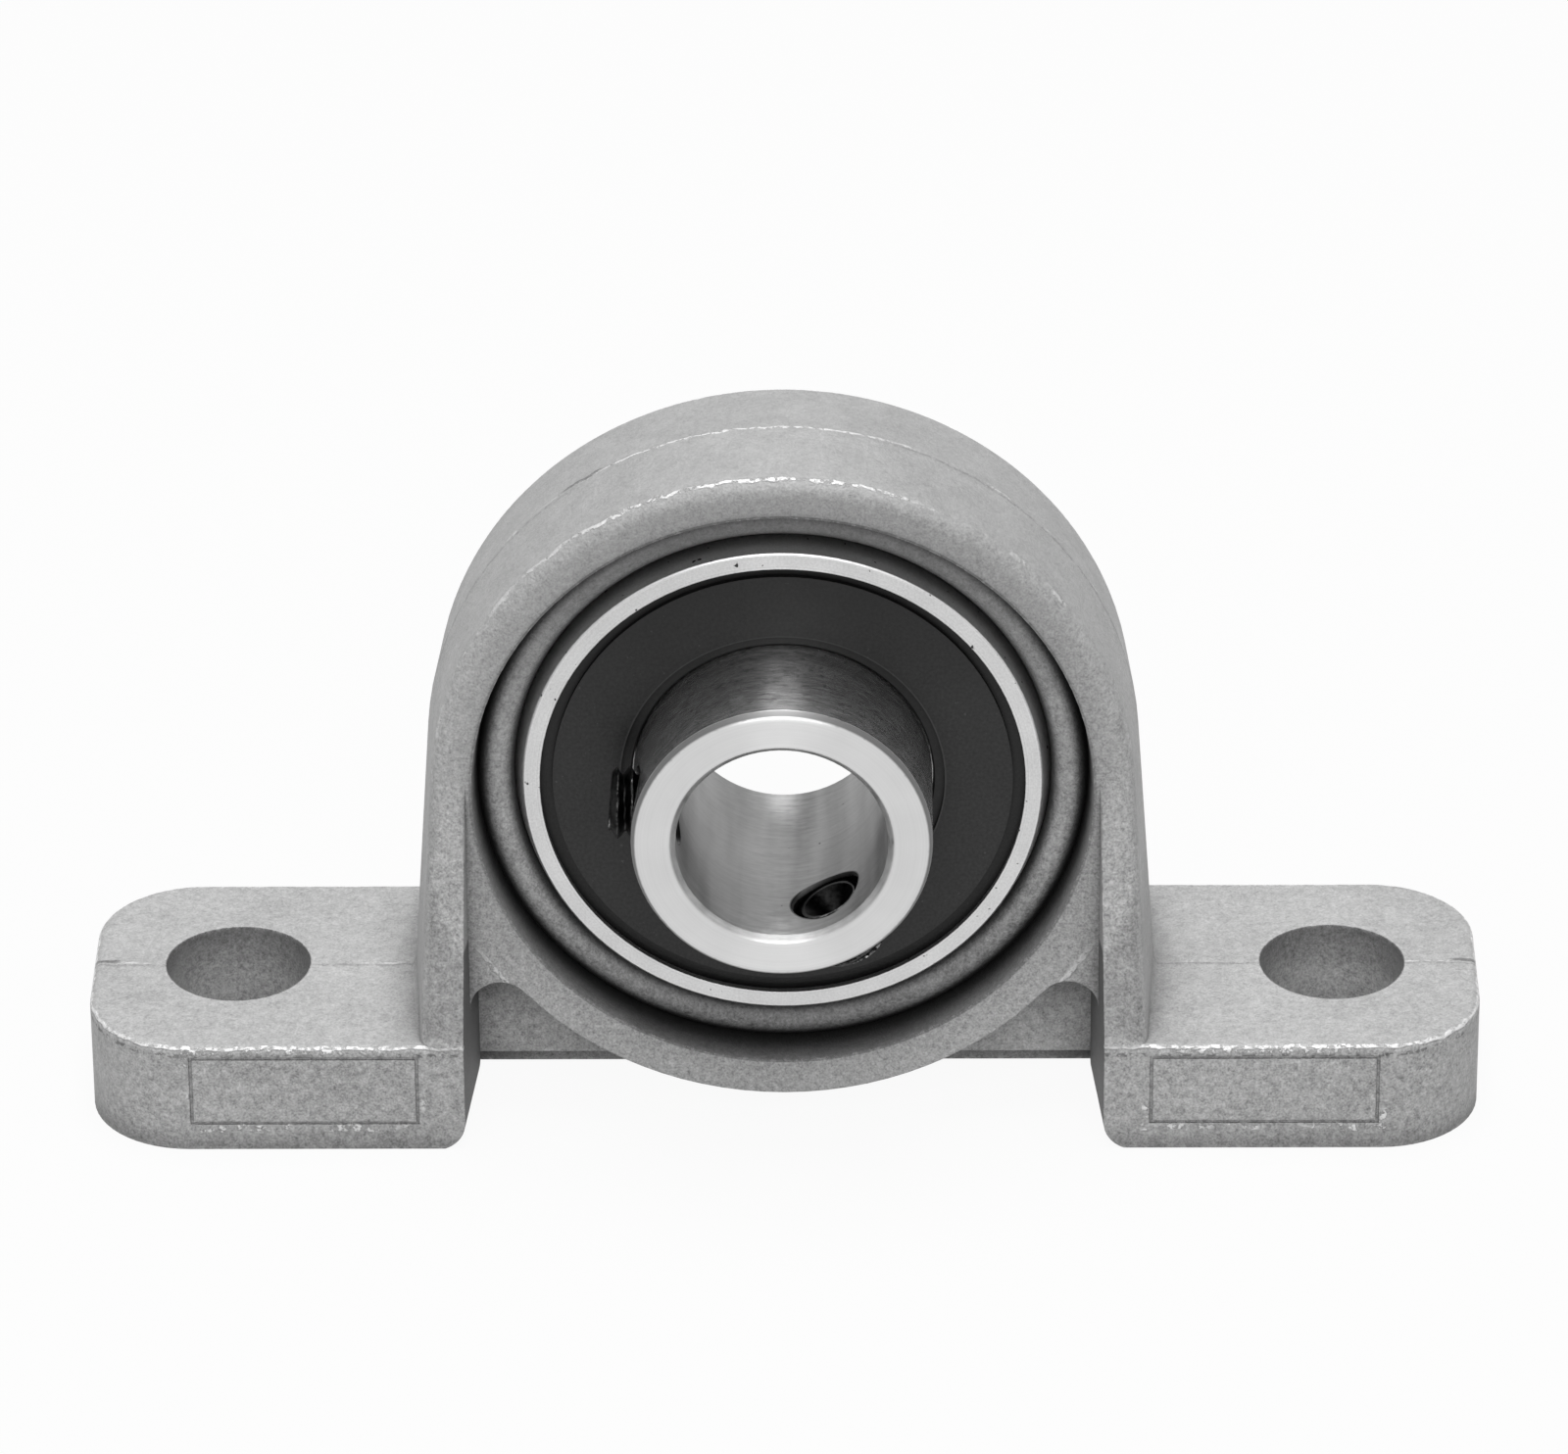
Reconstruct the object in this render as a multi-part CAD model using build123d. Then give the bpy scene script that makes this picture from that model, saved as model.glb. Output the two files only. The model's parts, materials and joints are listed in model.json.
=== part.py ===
from build123d import *
import os
from math import cos, radians, sin, sqrt, tan

# Pillow block with a self-aligning ball bearing insert for a 10 mm shaft.
# All lengths are in millimetres. The origin lies on the mounting face, under the middle of the bore.
# X runs along the feet, -Y is the side of the locking collar and +Z is up.

# Housing, driving sizes
shaft_height = 18.0
foot_length = 67.0
foot_width = 15.6
foot_thickness = 5.8
foot_corner_radius = 4.9
bolt_spacing = 53.0
bolt_hole_diameter = 7.0
arch_wall = 4.0
arch_half_depth = 5.0
arch_edge_radius = 0.8
leg_lean = 4.0
leg_wall = 2.2
flare_start_drop = 0.625
flare_top_drop = 0.05
web_half_thickness = 1.9
web_bottom_height = 1.9
lip_half_thickness = 0.6
lip_bottom_height = 0.65
pocket_corner_radius = 1.2
casting_draft = 5.0
outer_draft = 4.0
foot_top_draft = 1.0
foot_edge_radius = 0.35
toe_radius = 1.0
toe_depth = 0.25
heel_radius = 2.0
heel_depth = 0.6

# Panel outline on the front of each foot
panel_length = 11.0
panel_height = 3.75
panel_line_width = 0.16
panel_line_depth = 0.08
panel_gap_to_leg = 0.5
panel_centre_height = 3.25

# Spherical seat and the bead round its mouth
seat_clearance = 0.02
seat_half_width = 2.45
bead_width = 1.75
bead_height = 0.95
moat_floor_setback = 0.25
slot_clearance = 0.15

# Bearing insert, driving sizes
bore_diameter = 10.0
collar_wall = 2.1
collar_front = 10.0
ball_diameter = 4.7625
ball_count = 7
race_wall = 1.60875
race_conformity = 0.52
race_clearance = 0.01
shoulder_depth = 0.85
bore_chamfer = 0.3
collar_edge_radius = 0.4
ring_edge_chamfer = 0.06
ball_start_angle = 90.0

# Seals
ring_face_width = 0.81
seal_recess = 0.35
seal_thickness = 0.5
seal_plate_thickness = 0.25
seal_plate_overlap = 0.75
seal_groove_width = 0.6
seal_groove_depth = 0.3
seal_rim_undercut = 0.25
seal_lip_clearance = 0.05
seal_lip_width = 0.65
seal_lip_bevel = 0.1
seal_lip_setback = 0.25
seal_lip_step = 0.1
seal_lip_gap = 0.05

# Cage
cage_sheet = 0.26
cage_ball_clearance = 0.06
cage_seal_gap = 0.19875
cage_width = 1.3
rivet_diameter = 0.6
rivet_head_diameter = 1.1
rivet_head_height = 0.2
rivet_clearance = 0.02

# Set screws of the locking collar
screw_diameter = 3.44
screw_clearance = 0.05
screw_length = 3.0
screw_tip_gap = 0.15
screw_setback = 3.06
screw_first_angle = 175.0
screw_step_angle = 120.0
screw_socket_width = 2.0
screw_socket_depth = 1.4
screw_cup_depth = 0.4
screw_cup_rim = 0.15
screw_edge_chamfer = 0.3

# Sizes that follow from the ones above
bore_radius = bore_diameter / 2
collar_radius = bore_radius + collar_wall
ball_radius = ball_diameter / 2
pitch_radius = bore_radius + race_wall + race_clearance + ball_radius
cage_side = ball_radius + cage_ball_clearance + cage_sheet
shoulder_face = cage_side + cage_seal_gap
seal_back = shoulder_face + seal_plate_thickness
seal_face = seal_back + seal_thickness
ring_half_width = seal_face + seal_recess
seat_radius = pitch_radius + ball_radius + race_clearance + race_wall
arch_radius = seat_radius + arch_wall
tangent_height = shaft_height + arch_radius * sin(radians(leg_lean))
leg_inner_offset = arch_radius - leg_wall
foot_edge_height = foot_thickness - foot_width / 2 * tan(radians(foot_top_draft))
ring_sphere_radius = seat_radius - seat_clearance
mouth_radius = sqrt(seat_radius**2 - seat_half_width**2)
moat_radius = mouth_radius + bead_width
ring_face_outer = sqrt(ring_sphere_radius**2 - ring_half_width**2)
ring_face_inner = ring_face_outer - ring_face_width
race_radius = race_conformity * ball_diameter
inner_race_bottom = pitch_radius - ball_radius - race_clearance
outer_race_bottom = pitch_radius + ball_radius + race_clearance
inner_shoulder = inner_race_bottom + shoulder_depth
outer_shoulder = outer_race_bottom - shoulder_depth
seal_rim_face = seal_face - seal_groove_depth
seal_rim_radius = ring_face_inner + seal_rim_undercut
seal_lip_radius = collar_radius + seal_lip_clearance
seal_plate_outer = outer_shoulder + seal_plate_overlap
seal_plate_inner = seal_lip_radius + seal_lip_width
screw_y = -(collar_front - screw_setback)
screw_angles = [screw_first_angle, screw_first_angle + screw_step_angle]
ball_angles = [ball_start_angle + 360 / ball_count * k for k in range(ball_count)]

axis_height = Pos(0, 0, shaft_height)
bore_axis = Axis((0, 0, shaft_height), (0, 1, 0))
profile_plane = Plane.XY.offset(shaft_height)


def both_sides(shape):
    """The shape together with its mirror image behind the parting plane."""
    return shape + mirror(shape, about=Plane.XZ)


def ring_of(*edges):
    """A solid of revolution about the bore axis from the edges of its profile (radius, y)."""
    return revolve(profile_plane * make_face(Wire([e.edge() for e in edges])), axis=bore_axis)


def lines(*points):
    """Straight edges through the points, in order."""
    return [Line(a, b) for a, b in zip(points, points[1:])]


def closed_ring(*points):
    """A solid of revolution about the bore axis with a straight-sided profile (radius, y)."""
    return ring_of(*lines(*points, points[0]))


def around_axis(shape, angle):
    """The shape, modelled pointing along +X from the bore axis, turned to the angle above +X."""
    return axis_height * Rot(0, -angle, 0) * shape


# Housing

def leg_x(height):
    """Distance of the outer side of a leg from the middle, at a height on the parting plane."""
    lean = radians(leg_lean)
    return (arch_radius - (height - shaft_height) * sin(lean)) / cos(lean)


def leg_outline(top):
    """Front outline between the outer sides of the legs, from under the feet up to a height."""
    below = -foot_thickness
    return Polygon(
        (leg_x(below), below),
        (leg_x(top), top),
        (-leg_x(top), top),
        (-leg_x(below), below),
        align=None,
    )


def arch_outline():
    """Front outline of the arch: a circle, two legs that leave it as tangents, and rounded toes."""
    toe = foot_edge_height - toe_depth
    below = -foot_thickness
    legs = leg_outline(tangent_height)
    reach = leg_x(below) + 4 * toe_radius
    legs += Pos(0, (toe + below) / 2) * Rectangle(2 * reach, toe - below)
    corners = legs.vertices().filter_by(lambda v: abs(v.Y - toe) < 0.01 and abs(v.X) < leg_x(0))
    return fillet(corners, toe_radius) + Pos(0, shaft_height) * Circle(arch_radius)


def arch_core():
    """The front half of the arch up to its flat face, with a rounded outer edge."""
    core = extrude(Plane.XZ * arch_outline(), amount=arch_half_depth, taper=outer_draft)
    core &= Pos(0, 0, foot_length / 2) * Box(foot_length, 2 * foot_width, foot_length)
    above_toes = foot_edge_height + toe_radius
    rim = core.edges().group_by(Axis.Y)[0].filter_by(lambda e: e.center().Z > above_toes)
    return fillet(rim, arch_edge_radius)


def leg_flares():
    """The front half of the legs, which grow deeper from the arch down to the feet."""
    half_width = foot_width / 2
    start = tangent_height - flare_start_drop
    top = tangent_height - flare_top_drop
    slope = (half_width - arch_half_depth) / (start - foot_edge_height)
    side = Polygon(
        (0, 0),
        (-half_width, 0),
        (-half_width, foot_edge_height),
        (-half_width + (top - foot_edge_height) * slope, top),
        (0, top),
        align=None,
    )
    flares = extrude(Plane.XZ * leg_outline(top), amount=half_width, taper=outer_draft)
    flares &= extrude(Plane.YZ * side, amount=foot_length / 2, both=True)
    corners = flares.edges().filter_by(lambda e: e.center().Z > foot_edge_height)
    corners = corners.filter_by(lambda e: e.center().Y < -arch_half_depth and abs(e.center().X) > seat_radius)
    return fillet(corners, arch_edge_radius)


def arch():
    """The arch with its draft, and with legs that widen from the ring down to the feet."""
    return both_sides(arch_core() + leg_flares())


def feet():
    """The foot plate, with rounded corners and a top that falls to the front and back."""
    half_width = foot_width / 2
    section = Polygon(
        (-half_width, 0),
        (-half_width, foot_edge_height),
        (0, foot_thickness),
        (half_width, foot_edge_height),
        (half_width, 0),
        align=None,
    )
    bar = extrude(Plane.YZ * section, amount=foot_length / 2, both=True)
    plan = extrude(RectangleRounded(foot_length, foot_width, foot_corner_radius), amount=foot_thickness)
    plate = bar & plan
    rim = plate.edges().filter_by(lambda e: e.center().Z > foot_edge_height - 0.01)
    rim = rim.filter_by(lambda e: abs(e.center().Y) > foot_width / 4 or abs(e.center().X) > bolt_spacing / 2)
    return fillet(rim, foot_edge_radius)


def leg_gap():
    """Outline of the space between the legs, open below, where the feet have rounded heels."""
    below = -foot_thickness
    gap = Pos(0, (shaft_height + below) / 2) * Rectangle(2 * leg_inner_offset, shaft_height - below)
    wide = 2 * leg_inner_offset + 4 * heel_radius
    gap += Pos(0, (below - heel_depth) / 2) * Rectangle(wide, -heel_depth - below)
    heels = gap.vertices().filter_by(lambda v: abs(v.Y + heel_depth) < 0.01 and abs(v.X) < leg_inner_offset + 0.01)
    return fillet(heels, heel_radius)


def side_pockets():
    """The hollows between the ring and the legs, in front of the web, open below."""
    draft = tan(radians(casting_draft))
    outline = leg_gap() - Pos(0, shaft_height) * Circle(arch_radius - web_half_thickness * draft)
    corners = outline.vertices().filter_by(lambda v: v.Y > heel_radius)
    outline = fillet(corners, pocket_corner_radius)
    pocket = extrude(
        Plane.XZ.offset(web_half_thickness) * outline,
        amount=foot_width / 2,
        taper=-casting_draft,
    )
    channel_half = leg_inner_offset + (arch_half_depth - web_half_thickness) * draft
    tall = shaft_height + 2 * arch_radius
    channel = extrude(
        Plane.XZ.offset(arch_half_depth) * Rectangle(2 * channel_half, 2 * tall),
        amount=foot_width / 2,
        taper=-casting_draft,
    )
    return both_sides(pocket + channel)


def belly():
    """The space under the web and its lip, between the feet."""
    under_web = Pos(0, 0, web_bottom_height / 2) * Box(foot_length, 2 * web_half_thickness, web_bottom_height)
    under_web &= extrude(Plane.XZ * leg_gap(), amount=foot_width, both=True)
    lip_height = web_bottom_height - lip_bottom_height
    lip = Pos(0, 0, lip_bottom_height + lip_height / 2) * Box(foot_length, 2 * lip_half_thickness, lip_height)
    ring = axis_height * Rot(90, 0, 0) * Cylinder(arch_radius, 2 * web_half_thickness)
    return under_web - lip - ring


def seat():
    """The spherical seat, its mouths with a rounded bead, and the moat round each bead."""
    moat_depth = seat_half_width - moat_floor_setback
    moat_mouth = moat_radius + (arch_half_depth - moat_depth) * tan(radians(casting_draft))
    crest = (mouth_radius + bead_width / 2, -(seat_half_width + bead_height))
    mouth = (mouth_radius, -seat_half_width)
    far = foot_width
    half = [
        Line((0, -far), (moat_mouth, -far)),
        Line((moat_mouth, -far), (moat_mouth, -arch_half_depth)),
        Line((moat_mouth, -arch_half_depth), (moat_radius, -moat_depth)),
        ThreePointArc((moat_radius, -moat_depth), crest, mouth),
        ThreePointArc(mouth, (seat_radius, 0), (mouth_radius, seat_half_width)),
    ]
    other = [mirror(e, about=Plane.XZ) for e in half[:4]]
    return ring_of(*half, *other, Line((0, far), (0, -far)))


def loading_slots():
    """Two slots at the back, through which the insert is put in sideways before it is swung round."""
    depth = foot_width / 2
    middle = Pos(0, depth / 2, shaft_height)
    round_part = middle * Rot(90, 0, 0) * Cylinder(seat_radius + slot_clearance, depth)
    return round_part & (middle * Box(2 * arch_radius, depth, 2 * (ring_half_width + slot_clearance)))


def bolt_holes():
    """The two holes for the mounting bolts."""
    hole = Pos(0, 0, foot_thickness / 2) * Cylinder(bolt_hole_diameter / 2, 2 * foot_thickness)
    return Pos(-bolt_spacing / 2, 0) * hole + Pos(bolt_spacing / 2, 0) * hole


def panel_outlines():
    """A fine engraved rectangle on the front of each foot."""
    leg = arch_radius + panel_gap_to_leg + panel_length / 2
    frame = Rectangle(panel_length, panel_height)
    frame -= Rectangle(panel_length - 2 * panel_line_width, panel_height - 2 * panel_line_width)
    place = Plane.XZ.offset(foot_width / 2 - panel_line_depth) * Pos(leg, panel_centre_height)
    line = extrude(place * frame, amount=2 * panel_line_depth)
    return line + mirror(line, about=Plane.YZ)


def housing():
    """The die-cast housing."""
    body = arch() + feet()
    body -= side_pockets()
    body -= belly()
    body -= seat()
    body -= loading_slots()
    body -= bolt_holes()
    body -= panel_outlines()
    return body


# Bearing insert

def outer_ring():
    """The outer ring, with a spherical outside, a ball race and a rim groove for each seal."""
    race_centre = outer_race_bottom - race_radius
    race_edge = sqrt(race_radius**2 - (outer_shoulder - race_centre) ** 2)
    below_face = ring_half_width - ring_edge_chamfer
    outside = (sqrt(ring_sphere_radius**2 - below_face**2), -below_face)
    half = lines(
        (outer_shoulder, -race_edge),
        (outer_shoulder, -shoulder_face),
        (seal_rim_radius, -shoulder_face),
        (seal_rim_radius, -seal_rim_face),
        (ring_face_inner, -seal_face),
        (ring_face_inner, -ring_half_width),
        (ring_face_outer - ring_edge_chamfer, -ring_half_width),
        outside,
    )
    other = [mirror(e, about=Plane.XZ) for e in half]
    race = ThreePointArc((outer_shoulder, race_edge), (outer_race_bottom, 0), (outer_shoulder, -race_edge))
    sphere = ThreePointArc(outside, (ring_sphere_radius, 0), (outside[0], below_face))
    return ring_of(*half, sphere, *other, race)


def inner_ring():
    """The inner ring, with its ball race and the long collar that takes the set screws."""
    race_centre = inner_race_bottom + race_radius
    race_edge = sqrt(race_radius**2 - (race_centre - inner_shoulder) ** 2)
    before = lines(
        (bore_radius, ring_half_width - bore_chamfer),
        (bore_radius, -collar_front + bore_chamfer),
        (bore_radius + bore_chamfer, -collar_front),
        (collar_radius, -collar_front),
        (collar_radius, -shoulder_face),
        (inner_shoulder, -shoulder_face),
        (inner_shoulder, -race_edge),
    )
    race = ThreePointArc((inner_shoulder, -race_edge), (inner_race_bottom, 0), (inner_shoulder, race_edge))
    after = lines(
        (inner_shoulder, race_edge),
        (inner_shoulder, shoulder_face),
        (collar_radius, shoulder_face),
        (collar_radius, ring_half_width - bore_chamfer),
        (collar_radius - bore_chamfer, ring_half_width),
        (bore_radius + bore_chamfer, ring_half_width),
        (bore_radius, ring_half_width - bore_chamfer),
    )
    ring = ring_of(*before, race, *after)
    front_edges = ring.edges().filter_by(GeomType.CIRCLE).group_by(Axis.Y)[0]
    ring = fillet(front_edges.sort_by(SortBy.RADIUS)[-1], collar_edge_radius)
    outwards = (Align.CENTER, Align.CENTER, Align.MIN)
    hole = Rot(0, 90, 0) * Cylinder(screw_diameter / 2 + screw_clearance, 2 * collar_radius, align=outwards)
    for angle in screw_angles:
        ring -= around_axis(Pos(0, screw_y, 0) * hole, angle)
    return ring


def front_seal():
    """The rubber of the front seal: a rim that snaps into the outer ring, a face and an inner lip."""
    lip_back = shoulder_face + seal_lip_gap
    lip_face = seal_face - seal_lip_setback
    lip_outer = seal_plate_inner - seal_lip_step
    return closed_ring(
        (seal_lip_radius, -lip_back),
        (seal_lip_radius, -lip_face + seal_lip_bevel),
        (seal_lip_radius + seal_lip_bevel, -lip_face),
        (lip_outer, -lip_face),
        (lip_outer, -seal_face),
        (ring_face_inner - seal_groove_width, -seal_face),
        (ring_face_inner - seal_groove_width, -seal_rim_face),
        (seal_rim_radius, -seal_rim_face),
        (seal_rim_radius, -shoulder_face),
        (seal_plate_outer, -shoulder_face),
        (seal_plate_outer, -seal_back),
        (seal_plate_inner, -seal_back),
        (seal_plate_inner, -lip_back),
    )


def front_seal_plate():
    """The steel plate that stiffens the front seal from behind."""
    return closed_ring(
        (seal_plate_inner, -seal_back),
        (seal_plate_outer, -seal_back),
        (seal_plate_outer, -shoulder_face),
        (seal_plate_inner, -shoulder_face),
    )


def ball(angle):
    """One ball between the races."""
    return around_axis(Pos(pitch_radius, 0, 0) * Sphere(ball_radius), angle)


def rivet_angles():
    """Angles of the cage rivets, each half way between two balls."""
    return [angle + 180 / ball_count for angle in ball_angles]


def rivet(angle, radius):
    """A straight rivet shank of the given radius through both halves of the cage."""
    shank = Rot(90, 0, 0) * Cylinder(radius, 2 * cage_sheet)
    return around_axis(Pos(pitch_radius, 0, 0) * shank, angle)


def cage_half(side):
    """Half of the pressed ribbon cage: flats for the rivets and a round cup over each ball.

    The side is -1 at the front and 1 at the back.
    """
    inner = pitch_radius - cage_width / 2
    outer = pitch_radius + cage_width / 2
    cup_radius = ball_radius + cage_ball_clearance
    depth = cup_radius + cage_sheet
    flat = side * cage_sheet
    deep = side * (depth + cage_sheet)
    half = closed_ring((inner, 0), (inner, flat), (outer, flat), (outer, 0))
    room = closed_ring((inner, 0), (inner, deep), (outer, deep), (outer, 0))
    place = Pos(pitch_radius, 0, 0) * Rot(90, 0, 0)
    for angle in ball_angles:
        half += room & around_axis(place * Sphere(depth), angle)
    for angle in ball_angles:
        half -= around_axis(place * Sphere(cup_radius), angle)
    for angle in rivet_angles():
        half -= rivet(angle, rivet_diameter / 2 + rivet_clearance)
    return half


def cage_rivets():
    """The rivets of the cage, with a low head at each end."""
    rivets = []
    for angle in rivet_angles():
        away = cage_sheet + rivet_head_height / 2
        head = Rot(90, 0, 0) * Cylinder(rivet_head_diameter / 2, rivet_head_height)
        heads = Pos(pitch_radius, -away, 0) * head + Pos(pitch_radius, away, 0) * head
        rivets.append(rivet(angle, rivet_diameter / 2) + around_axis(heads, angle))
    return Compound(children=rivets)


def set_screw(angle):
    """A set screw with a hexagon socket outside and a cup point towards the shaft."""
    up = (Align.CENTER, Align.CENTER, Align.MIN)
    down = (Align.CENTER, Align.CENTER, Align.MAX)
    screw = Cylinder(screw_diameter / 2, screw_length, align=up)
    screw = chamfer(screw.edges().filter_by(GeomType.CIRCLE), screw_edge_chamfer)
    socket = RegularPolygon(screw_socket_width / 2, 6, major_radius=False)
    screw -= Pos(0, 0, screw_length) * extrude(socket, amount=-screw_socket_depth)
    point = screw_diameter / 2 - screw_edge_chamfer - screw_cup_rim
    screw -= Pos(0, 0, screw_cup_depth) * Cone(point, 0, screw_cup_depth, align=down)
    return around_axis(Pos(bore_radius + screw_tip_gap, screw_y, 0) * Rot(0, 90, 0) * screw, angle)


def back_of(shape):
    """The same piece at the back of the bearing."""
    return mirror(shape, about=Plane.XZ)


def main():
    os.makedirs("parts", exist_ok=True)
    nodes = {
        "housing": housing(),
        "outer_ring": outer_ring(),
        "inner_ring": inner_ring(),
        "front_seal": front_seal(),
        "front_seal_plate": front_seal_plate(),
        "rear_seal": back_of(front_seal()),
        "rear_seal_plate": back_of(front_seal_plate()),
        "cage_front": cage_half(-1),
        "cage_rear": cage_half(1),
        "cage_rivets": cage_rivets(),
    }
    for number, angle in enumerate(ball_angles, 1):
        nodes[f"ball_{number}"] = ball(angle)
    for number, angle in enumerate(screw_angles, 1):
        nodes[f"set_screw_{number}"] = set_screw(angle)
    for name, shape in nodes.items():
        export_step(shape, f"parts/{name}.step")


main()
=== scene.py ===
import json
from math import cos, pi, radians, sin

import bmesh
import bpy
from mathutils import Matrix, Vector

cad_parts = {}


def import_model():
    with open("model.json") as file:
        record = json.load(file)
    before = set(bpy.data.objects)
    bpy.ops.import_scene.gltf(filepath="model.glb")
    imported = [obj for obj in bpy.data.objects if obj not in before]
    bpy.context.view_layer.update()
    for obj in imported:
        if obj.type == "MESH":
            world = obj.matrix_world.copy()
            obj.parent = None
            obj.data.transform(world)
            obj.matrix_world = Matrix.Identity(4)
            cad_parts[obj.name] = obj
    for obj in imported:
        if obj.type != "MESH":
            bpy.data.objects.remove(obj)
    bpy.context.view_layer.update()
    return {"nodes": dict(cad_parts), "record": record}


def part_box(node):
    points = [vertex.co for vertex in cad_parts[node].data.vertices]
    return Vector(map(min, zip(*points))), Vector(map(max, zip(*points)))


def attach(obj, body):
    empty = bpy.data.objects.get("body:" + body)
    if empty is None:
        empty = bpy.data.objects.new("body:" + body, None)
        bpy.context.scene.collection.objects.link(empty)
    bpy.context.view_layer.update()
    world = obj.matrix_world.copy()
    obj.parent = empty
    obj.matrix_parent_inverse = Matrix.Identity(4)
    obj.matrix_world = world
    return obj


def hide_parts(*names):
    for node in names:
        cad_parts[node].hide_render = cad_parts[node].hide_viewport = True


# Looks, light and camera of the pillow block bearing. Lengths are in metres unless a line says otherwise.

MM = 0.001
AXIS_HEIGHT = 18 * MM

# Camera, solved from the photograph
CAMERA_AZIMUTH = radians(0.62)
CAMERA_ELEVATION = radians(29.21)
CAMERA_ROLL = radians(-0.42)
CAMERA_DISTANCE = 0.451
CAMERA_TARGET = Vector((0.04 * MM, 0, 18.83 * MM))
CAMERA_NEAREST = 0.01
CAMERA_FARTHEST = 20.0
SENSOR_WIDTH = 36.0
FOCAL_PIXELS = 9627.0
IMAGE_WIDTH = 1600.0

# Floor, world and lamps
FLOOR_HALF = 3.0
FLOOR_HEIGHT = -0.01 * MM
FLOOR_COLOUR = 0.60
FLOOR_WHITE_SHARE = 0.94
WORLD_STRENGTH = 0.32
LAMP_TARGET = Vector((0, 0, 0.02))
TOP_LAMP = {"place": Vector((0, 0.02, 0.42)), "width": 0.145, "length": 0.25, "radiance": 10.4}
FRONT_LAMP = {"place": Vector((0, -0.40, 0.36)), "width": 0.35, "length": 0.30, "radiance": 3.0}

# Set screws
SET_SCREWS = ("set_screw_1", "set_screw_2")
SCREW_CREST = 1.72 * MM
SCREW_LENGTH = 3.0 * MM
THREAD_PITCH = 0.7 * MM
THREAD_DEPTH = 0.38 * MM
THREAD_FLAT = 0.07
THREAD_SIDES = 48
THREAD_ROWS = 40
END_CHAMFER = 0.3 * MM
CUP_DEPTH = 1.3 * MM
CUP_RADIUS = 1.27 * MM
SOCKET_FLAT = 1.0 * MM
SOCKET_CHAMFER = 0.1 * MM
SOCKET_DEPTH = 1.4 * MM
SOCKET_CONE = 0.3 * MM
CONE_TIP = 0.02 * MM
SHARP_ANGLE = radians(35)

# What the noises, the lookups of edges and hollows, and the vectors have in common
NOISE_RANGE = (0.3, 0.7)
LOOKUP_SAMPLES = 4
WITHOUT_Y = (1, 0, 1)
WITHOUT_Z = (1, 1, 0)

# Places on the housing, in millimetres. Where there are two, a mark fades in or out between them.
# Radii are from the bore axis, depths and sides from the middle, and heights from the floor.
MOUTH_RADII = (14.85, 14.90)
MOUTH_EDGE_RADIUS = 14.9
MOUTH_EDGE_DEPTHS = (4.5, 4.7)
MOAT_RADII = (14.0, 14.45)
MOAT_DEPTHS = (3.2, 5.0)
BEAD_INNER_RADII = (14.5, 14.7)
BEAD_OUTER_RADII = (14.75, 16.0)
ARCH_FRONT_DEPTHS = (4.80, 4.95)
OVERHANG_OFF_LEVEL = (3.0, 13.0)
OVERHANG_DEPTHS = (3.0, 5.0)
POCKET_SIDES = (15.3, 15.5)
POCKET_RADII = (17.0, 17.1)
LEG_INNER_SIDES = (14.8, 15.2)
LEG_OUTER_SIDES = (18.6, 18.8)
LEG_RADII = (17.1, 17.6)
LEG_HEIGHTS = (5.8, 6.3)
BOLT_MIDDLE = (26.5, 0, 0)
BOLT_RADII = (3.52, 3.56)
BOLT_HEIGHTS = (3.2, 5.5)
DOME_HEIGHTS = (22.0, 32.0)
GRAIN_HEIGHTS = (14.0, 30.0)
FOOT_CORNER_MIDDLE = (28.6, 2.9, 0)
FOOT_CORNER_RADIUS = 4.9
FOOT_EDGE_HEIGHT = 5.57
FOOT_SHADOW_HEIGHT = 5.2
FOOT_FRONT_DEPTHS = (7.6, 7.7)
PANEL_SIDE = 23.0
PANEL_HEIGHT = 3.25
PANEL_HALF_LENGTH = 5.5
PANEL_HALF_HEIGHT = 1.875
PANEL_BORDER = 0.22
OUTSIDE_RADII = (16.2, 16.5)
OUTSIDE_SIDES = (18.2, 18.4)
ARCH_EDGE_DEPTH = 4.55
ARCH_EDGE_RADII = (16.0, 16.2)
ABOVE_FEET = (6.3, 6.5)
CROWN_SIDE = -2.5
CROWN_HEIGHTS = (20.0, 26.0)
BOSS_RADIUS = 16.9
BOSS_HEIGHTS = (8.0, 10.0)
SEAM_GAP_DEPTH = -0.22
CROWN_DENT_SIDE = -9.4
END_DENT_SIDE = 32.9
DENT_DEPTH = 0.08

# How much of the zinc's colour each place of painted shade keeps
HOLLOW_LEVEL = 0.10
MOAT_LEVEL = 0.12
BEAD_LEVEL = 0.85
OVERHANG_LEVEL = 0.60
POCKET_LEVEL = 0.30
BOLT_LEVEL = 0.52
LEG_LEVEL = 0.78
DOME_LEVEL = 0.87
GAP_LEVEL = 0.45

# How strongly the bright marks of the zinc show, which are partly worn metal and partly painted highlights,
# and the painted shade beside the parting line
LINE_STRENGTH = 0.85
LINE_STRENGTH_OFF_CROWN = 0.6
BOSS_STRENGTH = 0.7
CHIP_STRENGTH = 0.7
EDGE_STRENGTH = 0.15
SEAM_GAP_STRENGTH = 0.5

# Zinc
ZINC_COLOUR = 0.42
# ZINC_BRIGHT is the colour of the worn edges and of the painted highlights along them
ZINC_BRIGHT = 0.78
ZINC_ROUGHNESS = (0.58, 0.70)
ZINC_BRIGHT_ROUGHNESS = 0.36
ZINC_METALLIC = 0.25
ZINC_HOLLOW_REACH = 3.0 * MM
ZINC_EDGE_REACH = 0.45 * MM
ZINC_ROUNDING = 0.12 * MM
ZINC_MOUTH_ROUNDING = 0.6 * MM
ZINC_GRAIN_DEPTH = 0.06 * MM
EDGE_WANDER = 0.10

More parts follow.
